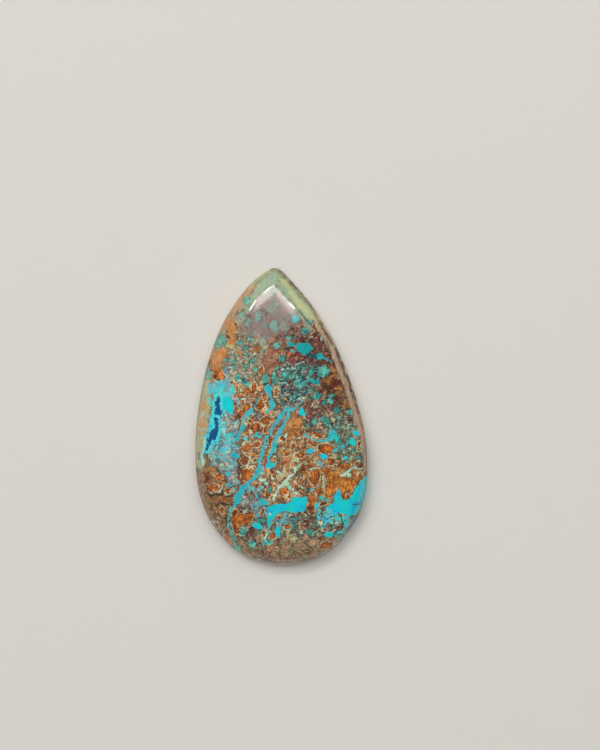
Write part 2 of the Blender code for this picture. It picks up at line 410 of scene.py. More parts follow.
# ------------------------------------------------------------------------------
# Where the markings and the zones of rock are on the face, given in pixels of the photograph's
# frame, as shapes() reads them. The mesh keeps the distance from the edge of each under its name.
# ------------------------------------------------------------------------------
DRAWINGS = {
    "turquoise": """
    # left: the broad patch round the navy spots, and its arm
    area 212,387 216,383 220,382 224,384 226,389 229,393 232,400 234,407 233,413 230,415 226,411 223,409
      221,416 220,424 221,432 220,440 223,446 225,451 221,453 216,449 214,453 208,456 203,456 203,451
      206,443 208,433 209,424 211,414 212,404 213,396 211,391
    area 229,433 233,432 238,436 243,437 244,442 239,445 232,445 229,440
    spots 220,449,4,3,-30
    # centre: the upper vein and the two long ones that fork below it
    spots 270,465,4.4,3.5 268.2,389,4,4.4 272.2,404,2.9,4.4
    # upper right
    area 294,346.5 299,344 305,342.5 311,343.5 312.5,348 309.5,352.5 303,354 298,351.5
    spots 291,344,4,2.4 320,356,3.8,3.8 295.5,318.5,2.2,2.4 316,382,4.2,2.4,10 302.5,412,2.6,4.2
    # right: the crescent, its dots and the grains beyond it
    area 328,432 331,431 335,431.5 336.5,434.5 334.5,438 330.5,441 327,441 330,437
    spots 336.5,439,2,3.5 311,451,4,2.5 324,456,3.4,3.1 356,433.5,3,3.4 353,442,2.6,5,10 345,459,2.6,2
    # below: the bar across the middle
    area 268,506 272,505 278,504 286,504 291,500.5 294,498 300,497 306,496 307,501 306,506 305,509 306,511
      303,512 299,512 296,514 290,512 285,511 281,512 277,515 274,519 271,524 268,526 267,520 266,514
      266,510
    area 251,527 254,524 258,523 263,526 262,529 257,530.5 253,528.5
    area 276,527 280,526 282,529 281,535 279,538 277,536 275,531
    # below: the great patch at the right
    area 335,492 337,489 340,491 341,496 343,500 347,500 350,498 353,494 355,489 359,485 361,480 364,477
      369,476 369,490 368,497 366,502 361,508 357,514 353,515 350,517 347,514 344,513 341,515 338,513
      335,516 331,517 327,518 325,522 321,523 319,520 321,517 321,513 325,510 327,508 330,505 332,502
      334,498
    area 329,519 335,517.5 340,516 341,523 338,525 333,523.5 329,522
    area 343,516 349,515 350,520 348,527 345,531 342,532 342,527 344,522
    spots 329,535,5,3.2,8 316.8,506,2.3,3.6 319,513,2.8,3.6,-20
    """,
    # thinner, duller veins
    "blue_veins": """
    spots 287,409.5,4.4,3.2,20 295.7,318.5,4,4 235,455,4,3.5 228,474,3.2,2.8 229,485,2.6,2.6
    area 257.5,498.5 262,497.5 267,500 269,503 268,506.5 263,507 259,505
    vein 250,412,2.1 247,415,2.4 243.5,420,1.8 243.5,427,2.1 240,433,2.2 237,439,3
    vein 248,412,1.4 254,414,0.9 260,414,1.8 259,418,1.1
    vein 268,386,2.2 267.5,390,3 270,396,1.6 272.5,402,2.3 272,407,2.3 268,412,2
    vein 303,400,0.8 297,406,1.2 292,409,1.6
    vein 270,521,1.5 269.3,527,1.5 268,532,1.3 266.5,535,1.2
    vein 284,413,1.6 280,417.5,2.1 277,420.5,2.3 274,425,1.4 271.5,430,1.8 270,434,1.3
    vein 267,437,1.2 264.5,444,1.3 262.5,452,1.3 260.5,459,1.4 258.5,465,1.5 258.5,470,2.4 256,476,2
      251,480.5,1.5 246,485,2.1 243,489,3 239.5,494.5,4 237.5,500,3.8 234.5,505.5,1.8
    vein 291,410,1.2 288,415,1.5 285,421,1.5 282,427,1.8 279,433,1.9 276,440,2 274,447,2.3 271.5,454,1.8
      269,460,1.4 269.5,464,1.6
    vein 320,357,2.2 326,359.5,1.8 330,361,1.1
    vein 300,384,0.8 306,381,1.2 313,379,0.9
    vein 303,434,0.9 307,437,1.2 312,438.5,1.4 318,441,1.2 324,442,1.2 329,438,1.6 333,433,1.8
    vein 333,450.5,1.1 338,447,1.5 343,445.5,2.2
    vein 246,485,1.6 251,489,1.2 255,494,1.2 258,498,1
    vein 257,433.5,0.8 254,436,1.2 259,437,1.3 263,434.5,0.8
    """,
    # duller and greener
    "teal": """
    spots 289,338,5,1.6,-10 247,301,3,4 247.5,322,3,4.5 258,316,2.8,4.5 274,326,3.3,6 250,339,3.6,3
      308,322,3,2.4 306,331,3,2.8 241,315,2.5,3 245,348,3,3.2 247,355,1.8,2.4 246,365.5,3,3.2
      252,361,1.8,2.2 254,370,2,2.8 245,383,4,4.3 265.5,379,3.2,5 235,355,3,1.8,10 232,368,2,2.2
      238,376,2,2.4 241,343,2.4,2 229,360,2,2 222,340,4.5,6 216.5,344,3,4.5 208,375,3,5 236,363,2,1.6
      281,359.5,4.2,2.4 286,375,5,3.6 300,347,3.6,3.6 277,345,3,3.4 323.5,371.3,5.8,4.5,20
      315.5,396,5.4,2.8,18 296,394,2.2,3.5,-15 291.5,399,2.4,3.4 322.5,402,3.2,2.4,20 284,395,2,4
      304,392,2.2,1.6 332,395,3.2,1.6,30 330,401,2.4,2.4 337,409,3.4,2.6 350,413,2.4,3 307,425,2.8,2.4
      314,421,2.6,2.3 330,430,7,1.3,3 347,441,3,3.4 340,441,2,3 357,458,3,2.4 349,459,2,3 353,450,2.6,3
      337,455.5,2,2.2 350,427,3,1.6 342,425,2,1.4 267,542,4,2.6 252,543.5,3.8,3.6 294,527,3,2.8
      310,532,5,3.6 318.5,524,1.8,2.6 322,499,3,2 327,500.5,2.4,1.8 324,527,2.4,1.8 333,528.5,2.6,1.6
      341,538,2.4,1.6 345,531,4,2,35 338,534,3.6,2.4,40 244,532,3,3 262,521,5,2 354,521,4.5,3,60
      270,489,1.8,3.4 309,455,1.6,1.2 295,519,4,2
    area 321,419 325,415 328,418 331,423 334,428 328,427 323,425
    vein 294,346,1.2 301,349,2 308,353,2
    vein 286,349,0.8 293,350.5,1.1 299,352,0.9
    vein 278,365,1.4 275.5,372,2.5 275,378,2.9 273.5,384,2.4
    vein 293,386,1.2 299,379,1.7 303,373,1.6 306,368,1.2
    vein 297,390,1.3 303,384,1.5 309,377,1.4 313,371,1.8 313.5,367,1
    vein 288,381,1 294,374,1.2 299,368,1.2
    vein 301,386,1 308,383,1.5 314,377.5,1.2
    vein 259,396,1 257,401,1.4 254,406,1.4 253,411,1.2
    vein 232,507,1.9 229.3,513,2 228,520,1.9 229,527,1.8 231.5,534,1.9 234.5,541,2.3 237,548,2.6 240,555,2.3
    """,
    # pale blue, between the lilac grains
    "powder": """
    spots 256,493,3,2,-30 250,488,3.4,1.4,-30 262,470,3,3.4 261,487,1.8,5 231,437,3,3 224,444,3,1.6
      227,448,4,2 232,463,4,2.4,-25 225,461,3,1.8,-30 321.5,463,2.6,2.6 352,438,2,3 340,449,3,1.6
      280,522,5,2.4 286,518,4,2.6 297,519,3.4,2.2 291,523,3,1.8 327,516,3,3 322,442,2.6,1.6 285,514,3,2
      220,393,4,1.8,-20 228,390,2.4,3.4 213,462,2.4,3,40 226,371,1.6,3 227,379,1.6,4 238,401,1.4,4
      311,489,3,1.6,20
    area 212,383 217,381 229,381 235,388 235,400 224,397 213,398 211,390
    vein 257,504,1.6 256.5,512,1.3 258,520,1.3
    vein 267.5,506,1.3 266,513,1.4 266,520,1.2
    vein 234,489,2 231,493,1.4
    vein 253,505,1.2 255,512,1.4 257,519,1.2
    """,
    "navy": """
    vein 218,397,0.8 218,401,1.7 217.5,405,2.4 218,409,2.8 218.5,412.5,3.5
    vein 215.5,419.5,1.7 216.5,424,2.3 216.5,429,2.7 213.5,433,3.6 212,437,3.2 209.5,440.5,2.2 208,444,1.5
      207,448.5,1.3
    """,
    # deep teal; its vein along the lower right edge is the wall's colour darkened as painted shade
    "deep_teal_and_edge_shade": """
    spots 304,376,2,1.2 245,381.5,2.4,2.4 288,408,3.4,2.4 306,331,1.2,1.2
    vein 363,506,1.2 359,514,1.6 354,522,1.8 348,530,1.4
    vein 307,353,2 312,356,2.6 317,356,2
    """,
    # mint and cream
    "pale": """
    spots 270.5,514.5,1.8,1.6 287,484,2.4,2.2 292.5,490,1.6,2 296,493,1.8,1.4 272,478,1.8,3.4,30
      262,480,3.4,1.8 266,484,1.6,2 290,488,2,2 302,488,2.4,1.4,-20 278,472,1.6,1.8 349,475,2.2,1.6
      322,338,1.4,2.4 300,437,1.4,1.4 285,436,1.4,2 240,381,2.4,2 244,398,3,1,-5 277,524,1,2 295,468,1,2
    vein 303,463,0.5 300,465.5,0.6 297,468,0.9 293,472,1.1 289,476.5,1.2 285.5,481,1.6 283,484.5,1.7
      279,487.5,1.4 276,491,1.4 274,496,1.4 272.5,501,1.2
    vein 269.5,527,0.4 268,532,0.8 266,536,1.2 264.5,539,1.1
    vein 363,468.5,0.7 357,468.5,0.8 354,467,0.9 351,469,1 348,472,1.4 344,474,1.7 340,476,1
    vein 293,367,0.5 299,363.5,0.7 304,362.3,0.6
    vein 286,368,0.5 292,366,0.5
    vein 205,437,0.7 203.5,446,1.2 203,456,1.5 203,465,1.2
    vein 308,484,0.3 307.5,476,0.4 310,470,0.4 315,467.5,0.5 320,468.5,0.4
    vein 323,473,0.5 323.5,480,0.9 323,487,1.3
    vein 241,467,0.6 247,467.5,0.7 249,463,0.8 249,457,0.7
    vein 211,492.5,0.4 216,492.8,0.5 221,490,0.4 223,487,0.3
    vein 224,493,0.3 227,496,0.3 232,494,0.4
    vein 211,521,0.4 214,523.5,0.5 216,519,0.4
    vein 216,519,0.4 220,518,0.4 222.5,523,0.4 221,529,0.4
    vein 240,535,0.8 246,537,0.8
    """,
    "rust": """
    spots 236,388.5,2.9,4.2 231.5,382.5,2,2 247.5,406.5,4.6,4.2 260,405.5,4.6,4.6 264.5,397,2.6,4.2
      241.5,414.5,4,4.6,20 255.5,427.5,4,5.4,12 265.5,420.5,4.6,4.6 246,391.5,3.6,3.2 254,388,3,4
      262,373,2,6,10 276,391,2.2,5 272,420,2,2 250,420.5,1.4,1.4 246,448,5.6,5 257,444,5,3,35
      244.5,460.5,5.2,4.4 247,474.5,7,6.6 256,461,3,3 270,442,1.6,6,15 258,486,4,4,-30 268,493.5,3,4.4
      283,491.5,4.8,4,45 280,481,2,2.6 288,472,2.4,3.4 290,497,3,1.6 283,438,3,2.4 287,453,3.2,3.4
      293,446,2.4,5 265,430,2,3 317.5,434.6,4.2,2.2,-5 313,443.5,4,2.6,-35 326,449,8,5 332,461,5.5,3
      345.5,466,6.4,4 314.5,478,5.6,7.6 300,455,4,3 359,444,1.4,5 322.5,504.5,4.4,2.4,-5 300,480,3.4,4,-20
      214,487.3,7,3.7,3 227.5,492,3,2.4 221.5,510,2.8,3.2 217.5,524.5,2.4,3.4 219,477,3.4,4,30
      286.5,528,3.6,2,-5 325,529,4,2.2 328,546,7,4,5 280,517.3,2.4,3.2 263,512,2.6,2.6 264,533,2.4,3.2
      272.5,536,2.2,3.6 314,328,2,5,-20 279,352,2,2.4
    area 219,349 222,348 226,350 223,352.5 219,357 217,361 218,366 221,369.5 224,373 226,377 225,381
      220,380.5 216,378 213,373 210,369 209,362 211,356 214,351.5
    area 320,470 325,466 332,468 338,474 345,477.5 352,478 357,476 361,473 362,479 358,484 354,488 349,492
      346,497 343,499 341,495 340,490 337,488 334,490 332,496 330,500 326,498 324,490 326,481 323,474
    area 309,494 315,494 316,499 315,504 316,509 314,513 310,512 307,507 309,501
    area 233,509 237,508 241,512 246,513 251,511 254,513 253,518 251,523 247,526 243,525 241,529 239,529
      240,533 236,534 233,529 231,524 231,517
    vein 224.5,531,1.6 226,536,2.6 228,541.5,2.6
    """,
    # yellow-brown
    "ochre_spots": """
    spots 328,379.5,7,2.8,28 338,391,8,2.4,33 346,404.5,4.5,4.2 332,369,4,3 322,437,3,1.6 256,350,4,3
      313,386,5,1.6,20 305,458,5,3 352,372,2,4,-60 334,454,3,2 316,464,4,2 332,470,3,3 348,482,4,3
    area 285,419 290,415 297,419 303,424 300,431 294,437 288,441 283,436
    area 308,468 313,466 319,466 323,471 325.5,479 324,490 316,491 309,489 306,482 306,474
    """,
    # golden, at the left
    "golden": """
    spots 230,541,3,6,-25 232,343,3.4,3.6 238,352,3,4,20 204,404,3,4 203,427,3,6 211,470,4,2
    area 225,322 230,319 234,322 236,328 233,336 229,338 226,332
    area 211,357 214,351 219,348 227,348 228,354 224,358 221,363 220,370 215,369 210,364
    """,
    # dark red and near-black brown
    "blood": """
    spots 236.5,324,1.3,1.3 228,337,1.6,1.6 235.5,513,3.4,3.2,-20 235,527,2.2,3.8,35 241,509,1.9,1.7
      250.5,533.5,3.2,4.2 260,541,2.4,1.8 271,470,1.2,3.6,30 284,463,2.4,2.4 307,489,4,1.6,-15
      297,489,2.2,1.4 312,507,2.8,1.8 321.5,504.5,3.2,1.6 336,382,4.6,3.4,10 318.5,341,1.5,3 316,350,1.6,3
      299,356,6,2.4 308,370,1.6,3.4 314,363.5,3.8,0.9 295,370,2,3.6,-30 334,461,2,1.4 359,440,1.2,3.6,-10
      361,456,1.6,3 361.5,465.5,2.4,1.8 351,388.8,1.5,1.8 349.5,420.5,2.6,2 312,400,3.6,1,-30
      243,311,1.8,2.2 250.5,316,1.4,1.4 255,303.5,2,1,40 262.5,310,1.3,1.3 266,314,1.8,2 284,319,1.6,1.4
      285,331.5,1.8,1.6 278,335,4,0.9,40 302.5,327,1.6,1.2 286,401,1.8,1.4 306,521,3,1.2,-20 315,521,1.6,2.6
      346,496,1.6,1.4 207,479,2,4 197.5,469,1.6,4 199.5,455,1.4,2.8 257,489.5,1.2,2.4 262,491.5,1.4,1.6
    vein 209,358,0.6 209.5,366,1 212,373,1.1 216,379,1.2 221,381.5,0.7
    vein 232.5,388,1 234,392.5,1.5 237,396,1.4
    vein 240,385.5,0.9 243,385,0.9
    vein 239,325,0.5 241.5,328,0.9 242.5,333,0.9
    vein 238.5,458,0.8 238.5,463,1.6 241,466,0.8
    vein 239,469,0.8 239,477,1.3 243,481,0.8
    vein 237,410,0.7 237.5,416,1 239.5,420,0.8
    vein 252,422,0.7 251.5,428,0.8 255,433,0.9 260,431,0.7
    vein 303,355,0.5 302,366,0.7
    vein 284,365.5,0.6 293,368.5,0.6 302,366,0.6
    vein 279.5,367,0.8 278.5,377,0.8
    vein 289,384,0.6 297,374,0.8 302,367,0.6
    vein 296,387,0.6 305,377,0.9 311,370,0.7
    vein 304,386,0.5 312,380,0.7 317,374,0.6
    vein 268,349,0.4 272,343,0.7 279,338,0.7 284,334.5,0.6
    vein 314,322,1 316,329,1.2 316,336,1
    """,
    "cracks": """
    vein 206,492.6,0.6 210,494.6,1.1 214,494.6,0.8 219,495,1.1 222,493.8,1.3 222.8,490.6,0.8
    vein 210,495,0.8 212.5,498.5,0.5
    vein 224,496.5,0.6 229,497,0.8 232,496,0.6
    vein 216.5,506,0.7 219,504.4,0.9 225,504,1.1 229.5,504.8,0.8
    vein 217,505.5,0.5 217.6,510,0.4
    vein 207,482.5,0.5 215,482.5,0.4
    vein 202,486,0.4 205,490,0.5 207,494,0.5
    vein 206,457,0.4 211,463,0.5 217,468.5,0.5 223,475,0.5 229,480.5,0.4
    vein 319,437.6,0.4 325,437.4,0.6 329,434.4,0.5
    vein 303.5,509,0.5 308,514.5,0.6 312,521,0.5
    vein 321.5,510,0.5 323,515,0.6 325.5,519,0.5 331,516.4,0.6 336,516.4,0.4
    vein 341,512,0.4 341.2,518,0.6 342.4,526,0.5
    vein 352,504.2,0.4 357,504.8,0.8 362,503.4,0.6
    vein 354,502.4,0.3 361,501.6,0.4
    vein 226,513,0.5 225.8,520,0.7 227.6,527,0.7
    vein 303,542,0.4 308,545.5,0.6 313,547.5,0.4
    vein 293,541,0.3 291,550,0.4 288,556,0.3
    vein 304,442.5,0.4 306,446,0.5 303,448,0.4
    vein 291,556,0.4 291,563,0.5
    vein 205,466,0.3 209,472,0.4 213,477,0.3
    vein 334,519.6,0.3 334,525,0.4
    vein 258,556,0.3 268,561,0.4 280,562.5,0.4
    vein 297,561.5,0.4 308,559.5,0.4 318,556,0.3
    vein 320,524.5,0.4 326,526,0.5 333,525.5,0.4 340,527,0.4
    vein 283,425,0.3 286,418,0.4
    vein 295,306,0.3 300,312,0.6 305,318,0.8 309,323,0.6 313,328,0.4
    vein 325.5,340,0.5 329,347,0.6 331.5,353,0.5
    vein 341,381,0.6 343,387,0.5
    vein 318.5,331,0.3 323.2,340,0.5 328.2,350,0.5 332.8,360,0.4 336.8,370,0.5 340.6,380,0.5 344.6,390,0.5
      348,400,0.4 350.8,410,0.3
    vein 348,380,0.4 350.5,387,0.8 352,392,0.6
    vein 286,361.5,0.3 298,362.8,0.6 310,363.8,1 318,363.2,0.5
    vein 281,367,0.4 291,367,0.5 303,365.8,0.6 313,364.8,0.5
    vein 243,541,0.3 249,547,0.5 252,555,0.3
    vein 262,544,0.3 262,552,0.5 266,560,0.3
    vein 276,541,0.3 281,549,0.5 279,558,0.3
    vein 281,549,0.4 291,549.5,0.4 300,554,0.5 311,552,0.3
    vein 318,541,0.3 322,547,0.5 317,553,0.3
    vein 249,547,0.3 256,549,0.4 262,551,0.3
    vein 233,521,0.3 239,523.5,0.4 246,523.5,0.3
    vein 239,512,0.3 243,518.5,0.5 250,519,0.4
    """,
    # along the stone's edge, at the right: the bevel's colours under a painted sheen, a brown strip on the
    # wall darkened as painted shade, and a painted highlight line; lime at the point
    "bevel_colour_and_sheen": """
    vein 314,322,2 320,331,2.2 326,340,2 329,345,2 331.6,350,2.1 334.2,356,2.2 336.6,362,2.2 339.4,370,2.3
      342.2,377,2.3 344.8,384,2.4 347.3,391,2.4 349.8,398,2.4 352.4,405,2.4 355,412,2.6 357.5,420,2.6
      360.1,428,2.6 362.4,437,2.4 364.2,447,2 365.4,457,1.9 366.2,470,1.6
    """,
    # painted shade: the stone's brown on the wall at the right, darkened
    "wall_brown_and_shade": """
    vein 321,322,1 327.2,331,1.4 332.6,339,1.9 337.2,346,2.7 340.6,354,3.2 344,362,3.6 347.6,370,3.8
      350.8,379,3.6 353.8,387,3.5 356.8,396,3.2 359.4,405,2.7 361.8,413,2.2 364,421,1.8 365.8,429,1.5
      367.3,438,1.3 368.4,448,1.2 369.4,458,1.1 370,470,1
    """,
    # a painted highlight along the girdle's edge at the right
    "painted_edge_glint": """
    vein 315,311,0.7 319.4,318,0.8 324.4,326.5,0.8 329,334,0.8 333.2,341,0.7 338,350,0.6 342,360,0.6
      345.9,370,0.6 349.9,380,0.6 353.3,390,0.6 356.6,400,0.6 359.2,410,0.6
    """,
    "lime": """
    spots 318.5,327.5,2.4,2.2 334,346,1.8,3,-25 334.5,355,1.6,3 315,463,3,1.6 309,456,2.6,2
      357.5,474.5,1.8,3 357,446,1.4,3 335,455,2.4,2.4 231,346,3.4,3 218,347,3,2.4 294,539,3,1.6 288,534,2,3
    vein 250,287,1.2 257,280,1.8 263,275,1.8 270,271,1.2
    vein 279,276,1 285,283,2 291,291,2.8 297,299,3.2 303,306.5,3.4 309,313,3.2 313,319,2.4
    """,
    # where the turquoise is broken up
    "patchy": """
    area 208,379 236,379 234,396 224,397 217,392 210,402 204,430 200,458 228,458 224,436 219,440 212,446
      206,452 208,400
    area 316,511 324,508 334,515 346,515 351,528 340,533 322,528
    spots 237,440,9,7
    """,
    # where the turquoise and teal are darker
    "shaded": "area 282,328 318,334 338,350 348,392 322,400 300,398 270,387 270,362",
    # the zones of rock between the markings
    "pink_brown": "area 253,335 284,335 283,368 276,378 264,378 255,376 252,362",
    "granular": "area 224,345 240,335 262,335 264,352 258,372 256,384 242,388 228,384 222,366",
    "wine": "area 284,320 306,318 320,330 335,352 340,372 300,368 282,368 280,340",
    "streaked": "area 278,365 300,362 330,366 330,376 320,388 300,402 284,404 276,390",
    "maroon": "area 303,404 320,388 335,384 343,396 352,416 357,432 338,432 330,428 303,430",
    "brown_ochre": "area 327,366 338,366 348,392 352,410 342,410 328,398 322,384",
    "ochre": "area 278,416 300,404 306,430 330,444 338,462 320,466 305,464 292,474 280,470 278,440",
    "cells": """
    area 232,384 262,384 272,405 276,440 274,470 296,474 306,486 304,498 272,505 254,492 236,480 240,450
      238,430 232,405
    """,
    "lilac_left": "area 212,414 234,412 240,436 238,484 228,486 206,458 206,430",
    "mint_right": "area 334,412 356,418 362,446 362,466 346,464 334,452 332,432",
    "gold": "area 303,466 330,462 350,460 368,466 366,480 350,500 325,502 305,500",
    "tan": "area 180,462 206,456 230,484 234,502 228,520 236,560 200,600 170,520",
    "left_edge": "area 150,360 208,352 212,372 212,392 208,430 203,470 150,470",
    "lilac_low": "area 240,492 258,496 268,506 266,524 254,508 240,508",
    "lilac_bar": "area 282,512 304,511 313,518 312,526 292,526 280,524",
    "speckled": "area 240,506 270,516 310,508 322,500 345,524 350,536 320,541 280,540 240,538",
    "olive": "area 228,538 262,541 300,538 340,537 420,500 420,640 180,640 200,560",
    "edge_tan": """
    area 196,372 212,330 238,290 250,276 256,288 248,298 240,309 230,319 224,333 216,348 206,374
    """,
    "smoky": """
    area 236,330 241,310 249,301 262,290 275,283 290,295 300,307 308,318 300,323 289,326 284,333 277,338
      262,340 246,336
    """,
    "tip_bevel": """
    area 234,326 240,312 247,300 254,290 262,279 276,268 290,284 304,298 320,320 314,331 306,327 298,315
      291,304 284,294 276,287 266,291 258,298 250,308 242,322
    """,
}


# ------------------------------------------------------------------------------
# The zones' looks: the kind of each one's texture, the colours of the seams between its grains and of the
# rims inside those, and its grains' colours. Colours are as read from a screen, 0 to 255.
# ------------------------------------------------------------------------------
FINE, NETTED, COARSE, BROAD = "fine", "netted", "coarse", "broad"
STREAKED, SOFT, HAZY = "streaked", "soft", "hazy"
# How fine, crisp, streaked and whole each kind's cells are and half the width of their seams in mm, how
# soft the zone's own border is in mm, and how far that wanders.
Kind = namedtuple("Kind", "look border wander")
KINDS = {
    FINE: Kind((1.0, 1.0, 0.0, 0.0, 0.024), 0.05, 1.0),
    NETTED: Kind((1.0, 1.0, 0.0, 0.0, 0.037), 0.05, 1.0),
    COARSE: Kind((0.0, 1.0, 0.0, 0.0, 0.05), 0.05, 1.0),
    BROAD: Kind((0.0, 0.85, 0.0, 1.0, 0.05), 0.28, 1.0),
    STREAKED: Kind((0.0, 1.0, 1.0, 0.0, 0.05), 0.05, 1.0),
    SOFT: Kind((0.0, 0.22, 0.0, 1.0, 0.03), 0.28, 0.35),
    HAZY: Kind((0.0, 0.30, 0.0, 1.0, 0.03), 0.60, 0.6),
}
Zone = namedtuple("Zone", "kind seam rim grains")
GROUND = Zone(  # where no zone is
    COARSE, (62, 38, 32), (186, 176, 142),
    ((92, 60, 44), (160, 120, 84), (132, 136, 112), (190, 156, 116), (118, 88, 70), (168, 166, 136)))
ZONES = {
    "pink_brown": Zone(
        BROAD, (92, 50, 42), (178, 146, 118),
        ((126, 74, 58), (164, 102, 78), (146, 126, 102), (176, 122, 92), (150, 86, 64), (148, 138, 112))),
    "granular": Zone(
        FINE, (112, 70, 60), (192, 212, 184),
        ((174, 146, 122), (152, 194, 168), (186, 168, 140),
         (172, 204, 178), (196, 154, 126), (138, 188, 166))),
    "wine": Zone(
        COARSE, (56, 26, 28), (172, 120, 98),
        ((96, 44, 40), (172, 108, 80), (124, 54, 54), (178, 136, 106), (128, 146, 122), (150, 104, 92))),
    "streaked": Zone(
        STREAKED, (30, 20, 30), (150, 196, 176),
        ((118, 80, 84), (110, 194, 182), (132, 88, 88), (166, 220, 204), (58, 164, 164), (176, 158, 154))),
    "maroon": Zone(
        NETTED, (50, 20, 24), (196, 190, 166),
        ((140, 54, 46), (160, 160, 138), (166, 80, 64), (200, 144, 114), (186, 200, 174), (150, 90, 76))),
    "brown_ochre": Zone(
        COARSE, (46, 24, 22), (160, 130, 90),
        ((84, 44, 30), (150, 114, 62), (110, 62, 44), (166, 134, 82), (124, 92, 70), (94, 50, 46))),
    "ochre": Zone(
        COARSE, (104, 62, 44), (200, 188, 148),
        ((164, 98, 58), (214, 138, 62), (186, 160, 116), (218, 156, 96), (168, 186, 142), (188, 112, 66))),
    "cells": Zone(
        COARSE, (88, 44, 34), (214, 208, 170),
        ((144, 74, 46), (218, 134, 56), (214, 196, 156), (184, 120, 78), (164, 198, 162), (222, 158, 88))),
    "lilac_left": Zone(
        COARSE, (92, 92, 98), (104, 222, 222),
        ((190, 158, 138), (156, 170, 186), (110, 214, 216),
         (196, 184, 152), (146, 206, 196), (178, 160, 162))),
    "mint_right": Zone(
        NETTED, (54, 42, 38), (182, 210, 178),
        ((168, 118, 88), (140, 196, 170), (156, 158, 128),
         (180, 214, 182), (196, 146, 106), (118, 188, 172))),
    "gold": Zone(
        COARSE, (80, 34, 22), (200, 164, 100),
        ((126, 58, 26), (186, 104, 38), (156, 76, 32), (202, 136, 52), (178, 140, 72), (146, 68, 30))),
    "tan": Zone(
        BROAD, (54, 30, 24), (172, 160, 112),
        ((138, 76, 48), (180, 114, 72), (134, 122, 86), (176, 92, 50), (144, 112, 78), (188, 126, 80))),
    "left_edge": Zone(
        SOFT, (132, 116, 88), (188, 196, 166),
        ((176, 150, 102), (158, 180, 148), (156, 154, 114),
         (182, 192, 162), (198, 154, 94), (150, 172, 148))),
    "lilac_low": Zone(
        FINE, (88, 74, 78), (150, 204, 202),
        ((150, 118, 108), (168, 164, 168), (190, 178, 172),
         (150, 150, 160), (156, 196, 192), (174, 140, 124))),
    "lilac_bar": Zone(
        FINE, (78, 58, 66), (150, 200, 200),
        ((144, 116, 120), (164, 160, 168), (118, 184, 190),
         (184, 174, 170), (146, 142, 154), (132, 178, 174))),
    "speckled": Zone(
        NETTED, (50, 28, 28), (192, 210, 180),
        ((142, 60, 48), (146, 192, 166), (198, 164, 128),
         (128, 176, 160), (198, 212, 180), (180, 106, 76))),
    "olive": Zone(
        BROAD, (60, 40, 34), (180, 178, 146),
        ((146, 78, 54), (156, 156, 124), (186, 104, 68), (130, 144, 116), (204, 132, 88), (156, 170, 142))),
    "edge_tan": Zone(
        SOFT, (140, 104, 70), (196, 180, 140),
        ((180, 130, 92), (206, 156, 112), (184, 156, 120),
         (204, 146, 106), (166, 146, 112), (210, 172, 130))),
    "smoky": Zone(
        HAZY, (92, 70, 70), (160, 150, 144),
        ((112, 92, 90), (140, 132, 128), (150, 116, 108),
         (120, 126, 122), (126, 150, 138), (156, 126, 112))),
    "tip_bevel": Zone(
        SOFT, (120, 104, 80), (176, 190, 156),
        ((120, 138, 112), (140, 172, 150), (156, 170, 138),
         (132, 162, 144), (166, 182, 140), (150, 170, 144))),
}


# ------------------------------------------------------------------------------
# The minerals' colours. Where a mineral has several, they are for its grains or run along a noise.
# ------------------------------------------------------------------------------
MINT_FLECKS = ((96, 172, 160), (150, 204, 178), (80, 190, 196))
RED_FLECKS, CREAM_FLECKS = (70, 30, 28), (214, 204, 172)
LIME = ((168, 178, 120), (206, 210, 156))
# the right bevel's colours with a painted sheen over them
BEVEL_COLOUR_AND_SHEEN = ((152, 108, 86), (204, 150, 122), (170, 152, 120), (218, 162, 136))
# the brown of the wall at the right, darkened as painted shade
WALL_BROWN_AND_SHADE = ((44, 24, 14), (90, 60, 34), (112, 96, 56), (72, 42, 26))
# the painted highlight line along the girdle's edge
EDGE_GLINT = (212, 186, 150)
OCHRE_FLOW = ((112, 70, 34), (168, 112, 52), (190, 136, 72), (146, 92, 44))
OCHRE_GRAINS = ((176, 96, 40), (196, 150, 86), (150, 92, 44), (206, 132, 58))
OCHRE_SEAM, OCHRE_DUST = (96, 54, 34), (186, 168, 124)
RUST_GRAINS = ((150, 76, 38), (198, 112, 42), (172, 92, 40), (188, 132, 74), (140, 70, 38), (196, 108, 40))
RUST_CORE = ((190, 100, 34), (226, 146, 58))
RUST_SEAM, RUST_BORDER, RUST_SKIN = (92, 38, 24), (80, 30, 22), (212, 198, 160)
BRIGHT_FIBRES, DARK_FIBRES = (206, 150, 66), (122, 54, 22)
GOLDEN = ((176, 94, 36), (200, 122, 44), (198, 136, 62), (184, 150, 98))
GOLDEN_SEAM = (120, 66, 36)
BLOOD = ((44, 18, 20), (118, 46, 36))
POWDER = ((92, 184, 196), (150, 176, 188), (66, 200, 210), (164, 172, 176), (112, 200, 202))
POWDER_SEAM = (80, 90, 106)
TEAL = ((100, 172, 152), (70, 174, 164), (126, 190, 166), (52, 162, 158), (90, 184, 170))
TEAL_SEAM, TEAL_SHADE, TEAL_SKIN = (40, 60, 62), (30, 106, 96), (52, 34, 36)
# deep teal, also used as painted shade on the wall at the lower right
DEEP_TEAL_AND_EDGE_SHADE = ((0, 50, 76), (4, 98, 118))
TURQUOISE = ((8, 176, 212), (0, 194, 216), (0, 200, 208), (12, 202, 190))
TURQUOISE_HALO, TURQUOISE_OUTLINE = (134, 186, 176), (60, 50, 52)
PALE_TURQUOISE, POWDERED_TURQUOISE, DEEP_TURQUOISE = (90, 204, 200), (156, 196, 184), (16, 130, 160)
DUSK = ((4, 72, 86), (8, 122, 130), (18, 148, 146), (44, 134, 118))
VEIN = ((20, 150, 184), (34, 170, 188), (20, 178, 190), (70, 178, 172))
VEIN_OUTLINE, VEIN_RIM, VEIN_SEAM = (70, 52, 48), (120, 200, 194), (24, 104, 124)
NAVY = ((0, 46, 92), (2, 76, 132), (20, 118, 168))
NAVY_RING = (92, 214, 220)
PALE = ((112, 194, 180), (156, 214, 194), (198, 226, 198), (140, 226, 222))
PALE_OUTLINE = (74, 50, 44)
CRACK = (36, 24, 20)

